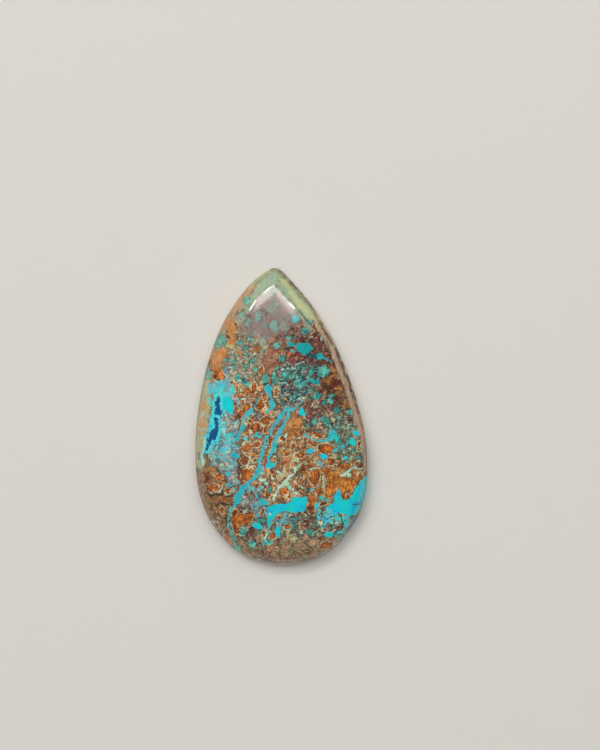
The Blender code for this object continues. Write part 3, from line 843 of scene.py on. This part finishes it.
# The rock's cells: how many there are to a mm, and how far in mm their borders are nudged.
BIG_CELLS, PATCHES = (0.7, 1.28), (1.15, 1.12)
GRAINS, SMALL_GRAINS = (2.3, 0.8), (4.6, 0.8)
BLADES, BLADES_NUDGED = (1.05, 4.2, 2.4), 0.8  # along X, Y and Z
BLADES_TURNED = (0.0, 0.0, math.radians(-38.0))  # their pattern, after it is scaled
PATCHES_SPLIT, GRAINS_SPLIT = 0.5, 0.55  # the lots above which these are split
BARE_GRAINS = 0.42  # the share of the grains that have no pale skin
NEW_LOT = 7.3  # what a grain's number is multiplied by for another one
FLOW_LINES, LOOPS = 6.0, 8.0  # to and fro, over the range of the noise that they follow

# The polish, the sawn back, and the faint relief of seams and cracks.
IOR = 1.68
ROUGHNESS = 0.055
SOFT_MINERALS_ROUGHER = 0.05  # turquoise and teal take less polish
CRACKS_ROUGHER = 0.3
WALL_ROUGHNESS = 0.9
BACK_ROUGHNESS, BACK_ROUGHNESS_CHANGE = 0.32, 0.2
RELIEF = {"Strength": 0.12, "Distance": 0.00003}  # the distance in metres
SEAM_WIDTH = 0.012  # mm

# A mix node's sockets, by their places: the share, and for each type of data A, B and the result.
SHARE = 0
NUMBER_A, NUMBER_B = 2, 3
COLOUR_A, COLOUR_B, COLOUR_RESULT = 6, 7, 2


# ------------------------------------------------------------------------------
# Shader nodes
# ------------------------------------------------------------------------------
def srgb(red, green, blue):
    """A colour as read from a screen, 0 to 255, as the linear colour that shaders take."""
    linear = [
        c / 12.92 if c <= 0.04045 else ((c + 0.055) / 1.055) ** 2.4
        for c in (red / 255, green / 255, blue / 255)
    ]
    return (*linear, 1.0)


def new_node(tree, kind, inputs=(), **settings):
    """A new shader node; each input is a Value or a constant."""
    node = tree.nodes.new(kind)
    for name, value in settings.items():
        setattr(node, name, value)
    for name, value in dict(inputs).items():
        if isinstance(value, Value):
            tree.links.new(value.socket, node.inputs[name])
        else:
            node.inputs[name].default_value = value
    return node


class Value:
    """A number, place or colour that shader nodes work out. What is done with it adds a node."""

    def __init__(self, socket):
        self.socket = socket

    def into(self, kind, inputs, output=0, **settings):
        """What a new node beside this value's own makes of its inputs."""
        return Value(new_node(self.socket.id_data, kind, inputs, **settings).outputs[output])

    def math(self, operation, *others):
        return self.into("ShaderNodeMath", enumerate((self, *others)), operation=operation)

    def __add__(self, other):
        return self.math("ADD", other)

    def __sub__(self, other):
        return self.math("SUBTRACT", other)

    def __mul__(self, other):
        return self.math("MULTIPLY", other)

    def rest(self):
        """What is left up to 1."""
        return self.into("ShaderNodeMath", {0: 1.0, 1: self}, operation="SUBTRACT")

    def fraction(self):
        return self.math("FRACT")

    def folded(self):
        """A value that goes to and fro between 0 and 0.5 as this one rises."""
        return self.math("PINGPONG", 0.5)

    def above(self, limit):
        return self.math("GREATER_THAN", limit)

    def least(self, other):
        return self.math("MINIMUM", other)

    def most(self, other):
        return self.math("MAXIMUM", other)

    def sway(self, amount):
        """A 0 to 1 value as one from -amount to amount."""
        return self.math("MULTIPLY_ADD", 2 * amount, -amount)

    def rise(self, low, high, start=0.0, end=1.0):
        """A smooth change from start, where this value is below low, to end, where it is above high."""
        inputs = {"Value": self, "From Min": low, "From Max": high, "To Min": start, "To Max": end}
        return self.into("ShaderNodeMapRange", inputs, interpolation_type="SMOOTHSTEP")

    def fall(self, low, high):
        return self.rise(low, high, 1.0, 0.0)

    def inside(self, soft):
        """1 where a distance in mm is below zero, with an edge this soft in mm."""
        return self.fall(-soft, soft)

    def strip(self, near, far, soft=0.03):
        """1 in the strip outside a shape between two distances in mm from it."""
        return self.rise(near - soft, near + soft) * self.fall(far - soft, far + soft)

    def blend(self, start, end):
        """A number that goes from start to end as this value goes from 0 to 1."""
        return self.into("ShaderNodeMix", {SHARE: self, NUMBER_A: start, NUMBER_B: end}, data_type="FLOAT")

    def vector(self, operation, other):
        return self.into("ShaderNodeVectorMath", {0: self, 1: other}, operation=operation)

    def palette(self, colours, crisp=False):
        """The colours in turn as this value goes from 0 to 1: run together, or crisp, in equal shares."""
        ramp = new_node(self.socket.id_data, "ShaderNodeValToRGB", {"Fac": self})
        ramp.color_ramp.interpolation = "CONSTANT" if crisp else "LINEAR"
        stops = ramp.color_ramp.elements
        for _ in colours[2:]:
            stops.new(1.0)
        last = len(colours) if crisp else len(colours) - 1
        for i, (stop, colour) in enumerate(zip(stops, colours)):
            stop.position, stop.color = i / last, srgb(*colour)
        return Value(ramp.outputs["Color"])

    def grains(self, colours):
        return self.palette(colours, crisp=True)

    def under(self, where, paint):
        """This colour with another over it, where and as far as that is 1."""
        return mixed(where, self, paint)


def mixed(share, start, end, blend_type="MIX"):
    """A colour that goes from start to end. Each is a Value, or a colour from 0 to 255."""
    start, end = (colour if isinstance(colour, Value) else srgb(*colour) for colour in (start, end))
    value = share if isinstance(share, Value) else start
    inputs = {SHARE: share, COLOUR_A: start, COLOUR_B: end}
    return value.into("ShaderNodeMix", inputs, COLOUR_RESULT, data_type="RGBA", blend_type=blend_type)


# ------------------------------------------------------------------------------
# The stone's material
# ------------------------------------------------------------------------------
Grains = namedtuple("Grains", "pick lot edge")  # two random numbers for each grain, and mm to its border


class StonePainter:
    """Paints the stone: the rock, zone by zone, and then each mineral over it.

    Places are in mm, so the scale of a noise or of grains is how many there are to a mm.
    """

    def __init__(self):
        self.material = bpy.data.materials.new("polished_stone_minerals")
        self.material.use_nodes = True
        self.tree = self.material.node_tree
        self.place = self.read("place", "Vector")
        self.add_noises()
        self.add_cells()
        self.add_wander()

    def paint(self):
        """Paints it all and returns the material."""
        self.paint_zones()
        self.paint_seams()
        self.paint_flecks()
        self.paint_bevel_bands()
        self.paint_ochre()
        self.paint_rust()
        self.paint_golden()
        self.paint_blood()
        self.paint_powder()
        self.paint_teal()
        self.paint_turquoise()
        self.paint_blue_veins()
        self.paint_navy()
        self.paint_pale_veins()
        self.paint_cracks()
        self.shade_grains()
        self.finish_surface()
        return self.material

    # what the rock and the minerals share
    def read(self, name, output="Fac"):
        """What the mesh keeps under this name: for a drawing, the distance outside it in mm."""
        return Value(new_node(self.tree, "ShaderNodeAttribute", attribute_name=name).outputs[output])

    def noise(self, scale, detail=3.0, roughness=0.55, output="Fac", stretch=None):
        place = self.place.vector("MULTIPLY", stretch) if stretch else self.place
        inputs = {"Vector": place, "Scale": scale, "Detail": detail, "Roughness": roughness}
        return place.into("ShaderNodeTexNoise", inputs, output)

    def nudged(self, by):
        """The place, moved by up to about half of this many mm, so that grains aren't polygons."""
        return self.place.vector("ADD", self.nudge.vector("MULTIPLY", (by, by, by)))

    def grains(self, scale, place):
        inputs = {"Vector": place, "Scale": scale}
        colour = place.into("ShaderNodeTexVoronoi", inputs, "Color")
        edge = place.into("ShaderNodeTexVoronoi", inputs, "Distance", feature="DISTANCE_TO_EDGE")
        pick, lot, _ = new_node(self.tree, "ShaderNodeSeparateColor", {0: colour}).outputs
        return Grains(Value(pick), Value(lot), edge * (1 / scale))

    def cover(self, where, paint):
        """Paints over what is painted so far."""
        self.colour = self.colour.under(where, paint)

    def lay(self, name, wander, soft, paint, strength=1.0):
        """Paints a marking, its edge moved by wander and this soft, both in mm."""
        self.cover((self.read(name) + wander).inside(soft) * strength, paint)

    def add_noises(self):
        """The noises, from the broadest to the finest."""
        self.mood = self.noise(0.9, 4).rise(0.3, 0.7)  # of the blue minerals and the pale veins
        self.flow = self.noise(1.2)
        self.ragged = self.noise(2.4, 5, 0.62)
        self.broken = self.noise(3.4, 4, 0.6)
        self.fine = self.noise(8.0, 4, 0.65)
        self.hair = self.noise(22.0, 3, 0.6)
        self.nudge = self.noise(2.6, 5, 0.65, "Color").vector("SUBTRACT", (0.5, 0.5, 0.5))

    def add_cells(self):
        """Cells of several sizes. Many of the larger ones are split into smaller ones."""
        sizes = (BIG_CELLS, PATCHES, GRAINS, SMALL_GRAINS)
        big, patch, grain, small = (self.grains(scale, self.nudged(by)) for scale, by in sizes)
        self.big, self.patch, self.grain, self.small = big, patch, grain, small
        place = self.nudged(BLADES_NUDGED)
        turn = {"Vector": place, "Rotation": BLADES_TURNED, "Scale": BLADES}
        self.blade = self.grains(1.0, place.into("ShaderNodeMapping", turn))

        split, split_again = patch.lot.above(PATCHES_SPLIT), grain.lot.above(GRAINS_SPLIT)
        inner_edge = patch.edge.least(grain.edge)
        self.coarse_cell = split.blend(patch.pick, grain.pick)
        self.coarse_edge = split.blend(patch.edge, inner_edge)
        self.fine_cell = split_again.blend(grain.pick, small.pick)
        self.fine_edge = split_again.blend(inner_edge, inner_edge.least(small.edge))

        clouds = (self.noise(1.1, 5, 0.62) + self.fine.sway(0.10)).rise(0.28, 0.72)
        fine = (self.fine_cell + self.flow * 1.5).fraction()
        blades = self.blade.pick + grain.lot.above(0.75) * 0.4 + small.pick * 0.15
        self.picks = {
            FINE: fine,
            NETTED: fine,
            COARSE: (self.coarse_cell + self.flow * 1.3).fraction(),
            BROAD: clouds * 0.75 + big.pick * 0.25,
            STREAKED: blades.fraction(),
            SOFT: clouds,
            HAZY: clouds,
        }

    def add_wander(self):
        """How edges wander, and where the minerals are clear, not smoky, and where they are shaded.

        The zones' edges wander far, the crumbly minerals' along grains, and the clean ones' finely.
        """
        ragged, fine, grain = self.ragged, self.fine, self.grain.pick
        self.wobble = ragged.sway(0.75) + grain.sway(0.28) + self.patch.pick.sway(0.3)
        self.clean = self.noise(4.2, 4, 0.62).sway(0.13) + grain.sway(0.04) + fine.sway(0.05)
        self.crumbly = ragged.sway(0.16) + grain.sway(0.13) + self.small.pick.sway(0.06) + fine.sway(0.08)
        self.smoky = self.read("smoky")
        self.clear = (self.smoky.inside(0.4) * 0.45).rest()
        self.shaded = (self.read("shaded") + self.wobble).inside(0.3)

    # the rock
    def paint_zones(self):
        """Each zone's grains, over the ground's, and what its seams are to be like."""
        self.colour = self.picks[GROUND.kind].grains(GROUND.grains)
        self.seam_colour, self.rim_colour = GROUND.seam, GROUND.rim
        look = KINDS[GROUND.kind].look
        for name, zone in ZONES.items():
            kind = KINDS[zone.kind]
            where = (self.read(name) + self.wobble * kind.wander).inside(kind.border)
            crisp = zone.kind not in (SOFT, HAZY, BROAD)
            self.cover(where, self.picks[zone.kind].palette(zone.grains, crisp))
            self.seam_colour = mixed(where, self.seam_colour, zone.seam)
            self.rim_colour = mixed(where, self.rim_colour, zone.rim)
            look = [where.blend(before, here) for before, here in zip(look, kind.look)]
        self.fineness, self.crispness, self.streakiness, self.wholeness, self.seam_width = look
        self.coarseness = self.fineness.rest()

    def grain_lines(self):
        """The seams round the grains, the pale skins just inside them, and dark rims inside those."""
        cell = self.fineness.blend(self.coarse_cell, self.fine_cell)
        lot = (cell * NEW_LOT).fraction()
        skinned = lot.above(BARE_GRAINS) * self.crispness * self.streakiness.rest()
        coarse_edge = self.wholeness.blend(self.coarse_edge, self.patch.edge)
        edge = self.fineness.blend(coarse_edge, self.fine_edge)
        self.edge = edge + self.fine.sway(0.02) + self.broken.sway(0.03)
        from_seam = self.edge - self.seam_width
        seam = from_seam.fall(-0.016, 0.016) * self.ragged.rise(0.36, 0.46)
        skin = from_seam.strip(0.01, 0.055, 0.012) * skinned
        rim = from_seam.strip(0.07, 0.12, 0.016) * skinned * self.coarseness
        return seam, skin, rim

    def flow_lines(self):
        """Seams that follow the rock's flow across the grains, and pale rims beside them."""
        waves = (self.flow * FLOW_LINES).folded()
        gate = self.broken.rise(0.46, 0.54)
        return waves.fall(0.03, 0.09) * gate, waves.strip(0.11, 0.18, 0.03) * gate * self.crispness

    def loop_lines(self):
        """Pale lines that loop round groups of the coarser grains, and the shadows beside them."""
        loops = (self.noise(0.9, 4) * LOOPS).folded()
        gate = self.broken.rise(0.44, 0.52) * self.coarseness
        return loops.fall(0.02, 0.065) * gate * self.crispness, loops.strip(0.09, 0.12, 0.02) * gate

    def paint_seams(self):
        self.cell_seam, skin, rim = self.grain_lines()
        self.flow_seam, flow_rim = self.flow_lines()
        loop, loop_shadow = self.loop_lines()
        self.cover(skin.most(flow_rim * 0.7) * 0.8, self.rim_colour)
        self.cover(loop * 0.65, self.rim_colour)
        self.cover(rim * 0.5, self.seam_colour)

        blade_seam = (self.blade.edge + self.fine.sway(0.06) + self.broken.sway(0.12)).fall(0.08, 0.18)
        big_seam = (self.big.edge + self.fine.sway(0.04) + self.broken.sway(0.04)).fall(0.02, 0.06)
        seam = self.streakiness.blend(self.cell_seam, blade_seam)
        seam = seam.most((self.flow_seam * 0.8).most(big_seam)).most(loop_shadow * 0.7)
        self.cover(seam * self.crispness * self.fineness.blend(1.0, 0.9) * 0.85, self.seam_colour)

    def paint_flecks(self):
        """Small grains of mint, dark red and cream, each where the grain's lot falls."""
        here = self.small.edge.rise(0.012, 0.03) * self.ragged.rise(0.52, 0.60)
        here = here * self.crispness * self.fineness.blend(0.5, 0.9)
        lot = self.small.lot
        self.cover(here * lot.rise(0.86, 0.88) * 0.8, self.fine.palette(MINT_FLECKS))
        self.cover(here * lot.fall(0.08, 0.10) * 0.75, RED_FLECKS)
        self.cover(here * lot.strip(0.44, 0.49, 0.005) * 0.8, CREAM_FLECKS)

    # the minerals
    def paint_bevel_bands(self):
        """Bands along the stone's edge: lime at the point and, at the right, the bevel's colours under a
        painted sheen, a brown strip darkened as painted shade and a thin painted highlight line.
        """
        self.lay("lime", self.clean, 0.12, self.fine.palette(LIME), 0.85)
        # painted sheen on the right bevel, over the bevel's own colours
        streaks = self.noise(2.6, 4, stretch=(1.0, 0.35, 1.0))
        self.lay("bevel_colour_and_sheen", self.clean, 0.05, streaks.palette(BEVEL_COLOUR_AND_SHEEN), 0.92)
        # a brown strip on the wall, darkened as painted shade
        blotches = self.noise(3.0, 4, 0.6) * 2.0 - 0.5
        self.lay("wall_brown_and_shade", self.fine.sway(0.05), 0.04, blotches.palette(WALL_BROWN_AND_SHADE), 0.95)
        # a thin painted highlight line along the girdle
        self.lay("painted_edge_glint", self.fine.sway(0.05), 0.03, EDGE_GLINT, 0.9)

    def paint_ochre(self):
        flow = self.flow * 1.4 + self.fine.sway(0.3) - 0.25
        ochre = flow.palette(OCHRE_FLOW).under(0.5, self.picks[COARSE].grains(OCHRE_GRAINS))
        ochre = ochre.under(self.flow_seam.most(self.cell_seam) * 0.7, OCHRE_SEAM)
        ochre = ochre.under(self.ragged.rise(0.52, 0.60) * 0.6, OCHRE_DUST)
        self.lay("ochre_spots", self.crumbly * 1.7, 0.05, ochre, 0.9)

    def paint_rust(self):
        """Cells of orange with a dark border in a cream skin, fibrous where the rock is gold."""
        edge = self.read("rust") + self.crumbly + 0.02
        skin = edge.strip(0.02, 0.10) * self.broken.rise(0.36, 0.44) * 0.9
        self.cover(skin * self.clear * self.clear, RUST_SKIN)

        core = (edge + self.ragged.sway(0.25)).fall(-0.42, -0.12)
        rust = self.picks[COARSE].grains(RUST_GRAINS)
        rust = rust.under(core * 0.75, self.fine.palette(RUST_CORE))
        fibres = self.noise(1.7, 3, 0.6, stretch=(3.4, 0.8, 1.0))
        in_gold = (self.read("gold") + self.wobble).inside(0.2)
        rust = rust.under(in_gold * fibres.rise(0.46, 0.58) * 0.7, BRIGHT_FIBRES)
        rust = rust.under(in_gold * fibres.fall(0.36, 0.46) * 0.6, DARK_FIBRES)
        rust = rust.under((self.cell_seam * 0.8).most(self.flow_seam * 0.7) * 0.75, RUST_SEAM)
        border = edge.rise(-0.12, -0.04) * self.ragged.rise(0.34, 0.46)
        rust = rust.under(border * 0.9, RUST_BORDER)
        self.cover(edge.inside(0.025) * self.clear * self.clear * self.clear, rust)

    def paint_golden(self):
        golden = (self.broken * 2.2 - 0.6).palette(GOLDEN).under(self.flow_seam * 0.35, GOLDEN_SEAM)
        self.lay("golden", self.crumbly * 1.8, 0.2, golden, 0.85)

    def paint_blood(self):
        """Dark red and near black."""
        self.lay("blood", self.crumbly + 0.02, 0.04, self.fine.palette(BLOOD), self.clear * 0.85)

    def paint_powder(self):
        powder = self.picks[FINE].grains(POWDER).under(self.cell_seam * 0.35, POWDER_SEAM)
        self.lay("powder", self.crumbly, 0.04, powder, 0.88)

    def paint_teal(self):
        """Spots of teal in a dark skin, which blur under the smoky zone, and deep teal, which along the
        lower right edge is painted shade on the wall.
        """
        edge = self.read("teal") + self.crumbly * 0.85 + 0.01
        self.teal_edge = edge = edge * self.smoky.inside(0.2).blend(1.0, 0.35)
        skin = edge.strip(0.01, 0.08) * self.ragged.rise(0.40, 0.50)
        self.cover(skin * self.clear * self.clear * 0.85, TEAL_SKIN)

        teal = self.picks[FINE].grains(TEAL).under(self.cell_seam * 0.5, TEAL_SEAM)
        teal = teal.under(self.shaded * self.ragged.rise(0.44, 0.58) * 0.5, TEAL_SHADE)
        self.cover(edge.inside(0.035) * self.clear, teal)
        # deep teal, and along the lower right edge painted shade on the wall
        self.lay("deep_teal_and_edge_shade", self.crumbly, 0.05, self.fine.palette(DEEP_TEAL_AND_EDGE_SHADE), 0.94)

    def paint_turquoise(self):
        """Clean patches with a broken dark outline and a pale halo, crumbly where they are patchy."""
        patchy = (self.read("patchy") + self.wobble * 0.5).inside(0.15)
        crumble = patchy * (self.grain.pick.sway(0.8) + self.ragged.sway(0.6) + 0.10)
        self.turquoise_edge = edge = self.read("turquoise") + self.clean + crumble + 0.02
        self.cover(edge.strip(0.0, 0.05) * self.noise(2.7).rise(0.50, 0.60) * 0.75, TURQUOISE_HALO)
        self.cover(edge.strip(0.02, 0.08) * self.noise(2.9).rise(0.44, 0.52) * 0.75, TURQUOISE_OUTLINE)

        pale = self.noise(7.0, 4, 0.7).rise(0.55, 0.68) * 0.45
        powdered = patchy * self.noise(8.0, 4, 0.7).rise(0.44, 0.60) * 0.6
        deep = self.noise(4.4, 4, 0.7).rise(0.56, 0.68) * 0.55
        self.dusk = self.noise(3.4, 4, 0.65).palette(DUSK)
        turquoise = self.mood.palette(TURQUOISE).under(pale, PALE_TURQUOISE)
        turquoise = turquoise.under(powdered, POWDERED_TURQUOISE).under(deep, DEEP_TURQUOISE)
        self.cover(edge.inside(0.03), turquoise.under(self.shaded * 0.85, self.dusk))

    def paint_blue_veins(self):
        """Thinner than the patches, duller, and broken here and there."""
        edge = self.read("blue_veins") + self.clean * 1.1 + self.small.pick.sway(0.06)
        self.vein_edge = edge = edge + self.ragged.rise(0.56, 0.68, 0.0, 0.2)
        self.cover(edge.strip(0.03, 0.08) * self.ragged.rise(0.44, 0.52) * 0.75, VEIN_OUTLINE)

        rim = edge.strip(-0.09, -0.03, 0.02) * self.broken.rise(0.42, 0.52)
        vein = (self.mood * 0.6 + self.fine * 0.4).palette(VEIN).under(rim * 0.6, VEIN_RIM)
        vein = vein.under(self.flow_seam.most(self.fine.rise(0.62, 0.70)) * 0.5, VEIN_SEAM)
        vein = vein.under(self.shaded * 0.4, self.dusk)
        self.cover(edge.inside(0.03) * self.clear * 0.95, vein)

    def paint_navy(self):
        """Navy, frayed at its edges, in a pale ring."""
        edge = self.read("navy") + self.fine.sway(0.16) + self.small.pick.sway(0.12) + self.hair.sway(0.06)
        self.cover(edge.fall(0.12, 0.32) * 0.85, NAVY_RING)
        self.cover(edge.inside(0.035), (self.fine * 1.8 - 0.4).palette(NAVY))

    def paint_pale_veins(self):
        """Mint and cream."""
        edge = self.read("pale") + self.clean * 1.1 + 0.012
        self.cover(edge.strip(0.03, 0.09) * self.ragged.rise(0.45, 0.55) * 0.7, PALE_OUTLINE)
        self.cover(edge.inside(0.03) * 0.92, (self.mood * 0.5 + self.grain.pick * 0.5).palette(PALE))

    def paint_cracks(self):
        self.cracked = (self.read("cracks") + self.fine.sway(0.06)).inside(0.025)
        self.cover(self.cracked * 0.9, CRACK)

    # the whole
    def shade_grains(self):
        """Uneven brightness: faint on the blue minerals, and from grain to grain on the rest."""
        blue = self.turquoise_edge.inside(0.05).most(self.vein_edge.inside(0.05))
        middles = self.edge.rise(0.02, 0.20).sway(1.0) * self.fineness.blend(0.10, 0.20)
        uneven = self.big.pick.sway(0.08) + self.hair.sway(0.10) + self.fine.sway(0.10) + middles
        shade = self.hair.sway(0.06) + 1.0 + self.fine.sway(0.06) + uneven * self.crispness * blue.rest()
        grey = shade.into("ShaderNodeCombineColor", {0: shade, 1: shade, 2: shade})
        self.colour = mixed(1.0, self.colour, grey, "MULTIPLY")

    def finish_surface(self):
        """The polish and the relief."""
        back = self.read("back").rise(0.2, 0.9)
        soft = self.turquoise_edge.inside(0.05).most(self.teal_edge.inside(0.05))
        rough = soft * SOFT_MINERALS_ROUGHER + ROUGHNESS + self.cracked * CRACKS_ROUGHER
        rough = self.read("wall").blend(rough, WALL_ROUGHNESS)
        rough = back.blend(rough, self.fine * BACK_ROUGHNESS_CHANGE + BACK_ROUGHNESS)
        height = self.small.edge.least(SEAM_WIDTH) * 2.5 + self.cracked * -0.2
        height = height + self.fine * (back * 0.25 + 0.02)
        relief = height.into("ShaderNodeBump", {**RELIEF, "Height": height})
        shader = self.tree.nodes["Principled BSDF"]
        shader.inputs["IOR"].default_value = IOR
        for name, value in (("Base Color", self.colour), ("Roughness", rough), ("Normal", relief)):
            self.tree.links.new(value.socket, shader.inputs[name])


# ------------------------------------------------------------------------------
# The stone
# ------------------------------------------------------------------------------
# Between which cosines a face turns into the back, by how far down it points, and into the wall, by how
# far up or down it points, with a minus.
BACK_NORMALS = (0.3, 0.9)
WALL_NORMALS = (-0.5, -0.2)


def vertex_normals(mesh):
    normals = np.empty(len(mesh.vertices) * 3)
    mesh.vertex_normals.foreach_get("vector", normals)
    return normals.reshape(-1, 3)


def store(mesh, name, values):
    """Keeps one number, or one vector, for each vertex."""
    vector = values.ndim == 2
    layer = mesh.attributes.new(name, "FLOAT_VECTOR" if vector else "FLOAT", "POINT")
    layer.data.foreach_set("vector" if vector else "value", values.astype(np.float32).ravel())


def add_stone():
    low, high = (np.array(corner) / METRES_PER_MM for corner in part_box(STONE))
    points, faces = surface_mesh(stone_rings(high - low))
    mesh = bpy.data.meshes.new(STONE + "_polished")
    mesh.from_pydata((points * METRES_PER_MM).tolist(), [], faces)
    mesh.shade_smooth()

    normals = vertex_normals(mesh)
    x, y = marking_places(points, normals)
    for name, drawing in DRAWINGS.items():
        store(mesh, name, distance_to(drawing, x, y))
    store(mesh, "place", points)
    store(mesh, "back", ease(-normals[:, 2], *BACK_NORMALS))
    store(mesh, "wall", ease(-np.abs(normals[:, 2]), *WALL_NORMALS))
    mesh.materials.append(StonePainter().paint())

    stone = bpy.data.objects.new("polished_stone", mesh)
    bpy.context.scene.collection.objects.link(stone)
    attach(stone, "root")
    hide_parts(STONE)


# ------------------------------------------------------------------------------
# Studio
# ------------------------------------------------------------------------------
# Rectangular lamps that face the stone: degrees from straight up, degrees from +Y towards +X, width and
# height in metres, and radiance.
LAMPS = {
    "strip": (36, -3, 0.86, 0.04, 4.0),
    "lamp_left": (36, -57, 0.055, 0.12, 13.0),
    "lamp_middle": (34, -19, 0.22, 0.12, 12.0),
    "lamp_right": (38, 52.2, 0.016, 0.20, 16.0),
}
LAMP_DISTANCE = 0.6
LAMP_COLOUR = (1.0, 0.97, 0.93)
WORLD_COLOUR = (1.0, 0.975, 0.93, 1.0)
AMBIENT, AMBIENT_FRONT = 0.17, 0.42  # from the back of the room to its front, which is +Y
FRONT = (0.2, 0.8)  # the directions' Y between which it brightens
# The soft glow high up in front: its strength, and where it starts and ends.
GLOW = 6.2
GLOW_NEAR, GLOW_FAR = (0.095, 0.195), (0.36, 0.50)  # along Y
GLOW_SIDE, GLOW_SPREAD = (0.12, 0.24), 0.8  # across X, and how much wider it gets along Y
GLOW_UPWARD = (0.5, 0.7)  # along Z
FLOOR_HALF = 3.0  # metres
FLOOR_COLOUR = (0.62, 0.61, 0.59, 1.0)
FLOOR_ROUGHNESS = 0.7


def add_camera():
    right, up, back = camera_axes()
    data = bpy.data.cameras.new("camera")
    data.sensor_fit = "VERTICAL"
    data.sensor_height = SENSOR
    data.lens = SENSOR * CAMERA_DISTANCE / (PHOTO_HEIGHT * MM_PER_PIXEL)
    data.shift_x = (PHOTO_WIDTH / 2 - STONE_ACROSS) / PHOTO_HEIGHT
    data.shift_y = (STONE_DOWN - PHOTO_HEIGHT / 2) / PHOTO_HEIGHT
    data.clip_start = 0.01
    camera = bpy.data.objects.new("camera", data)
    turn = Matrix((right, up, back)).transposed().to_4x4()
    place = (AIM + back * CAMERA_DISTANCE) * METRES_PER_MM
    camera.matrix_world = Matrix.Translation(Vector(place)) @ turn
    bpy.context.scene.collection.objects.link(camera)
    bpy.context.scene.camera = camera


def add_lamp(name, tilt, turn, width, height, radiance):
    tilt, turn = math.radians(tilt), math.radians(turn)
    direction = (math.sin(tilt) * math.sin(turn), math.sin(tilt) * math.cos(turn), math.cos(tilt))
    data = bpy.data.lights.new(name, "AREA")
    data.shape = "RECTANGLE"
    data.size, data.size_y = width, height
    data.energy = radiance * math.pi * width * height
    data.color = LAMP_COLOUR
    lamp = bpy.data.objects.new(name, data)
    lamp.location = Vector(direction) * LAMP_DISTANCE
    lamp.rotation_euler = lamp.location.to_track_quat("Z", "Y").to_euler()
    bpy.context.scene.collection.objects.link(lamp)


def add_world():
    world = bpy.data.worlds.new("studio")
    world.use_nodes = True
    tree = world.node_tree
    direction = Value(new_node(tree, "ShaderNodeTexCoord").outputs["Generated"])
    x, y, z = (Value(part) for part in new_node(tree, "ShaderNodeSeparateXYZ", {0: direction}).outputs)
    glow = y.rise(*GLOW_NEAR) * y.fall(*GLOW_FAR)
    glow = glow * ((x.math("ABSOLUTE") - y * GLOW_SPREAD).fall(*GLOW_SIDE) * z.rise(*GLOW_UPWARD))
    strength = y.rise(*FRONT, AMBIENT, AMBIENT_FRONT) + glow * GLOW
    background = tree.nodes["Background"]
    background.inputs["Color"].default_value = WORLD_COLOUR
    tree.links.new(strength.socket, background.inputs["Strength"])
    bpy.context.scene.world = world


def add_floor():
    mesh = bpy.data.meshes.new("floor")
    corners = [(-1, -1), (1, -1), (1, 1), (-1, 1)]
    mesh.from_pydata([(x * FLOOR_HALF, y * FLOOR_HALF, 0) for x, y in corners], [], [(0, 1, 2, 3)])
    material = bpy.data.materials.new("pale_floor")
    material.use_nodes = True
    shader = material.node_tree.nodes["Principled BSDF"]
    shader.inputs["Base Color"].default_value = FLOOR_COLOUR
    shader.inputs["Roughness"].default_value = FLOOR_ROUGHNESS
    mesh.materials.append(material)
    floor = bpy.data.objects.new("floor", mesh)
    bpy.context.scene.collection.objects.link(floor)


add_camera()
add_stone()
for name, lamp in LAMPS.items():
    add_lamp(name, *lamp)
add_world()
add_floor()
bpy.context.scene.view_settings.view_transform = "Standard"
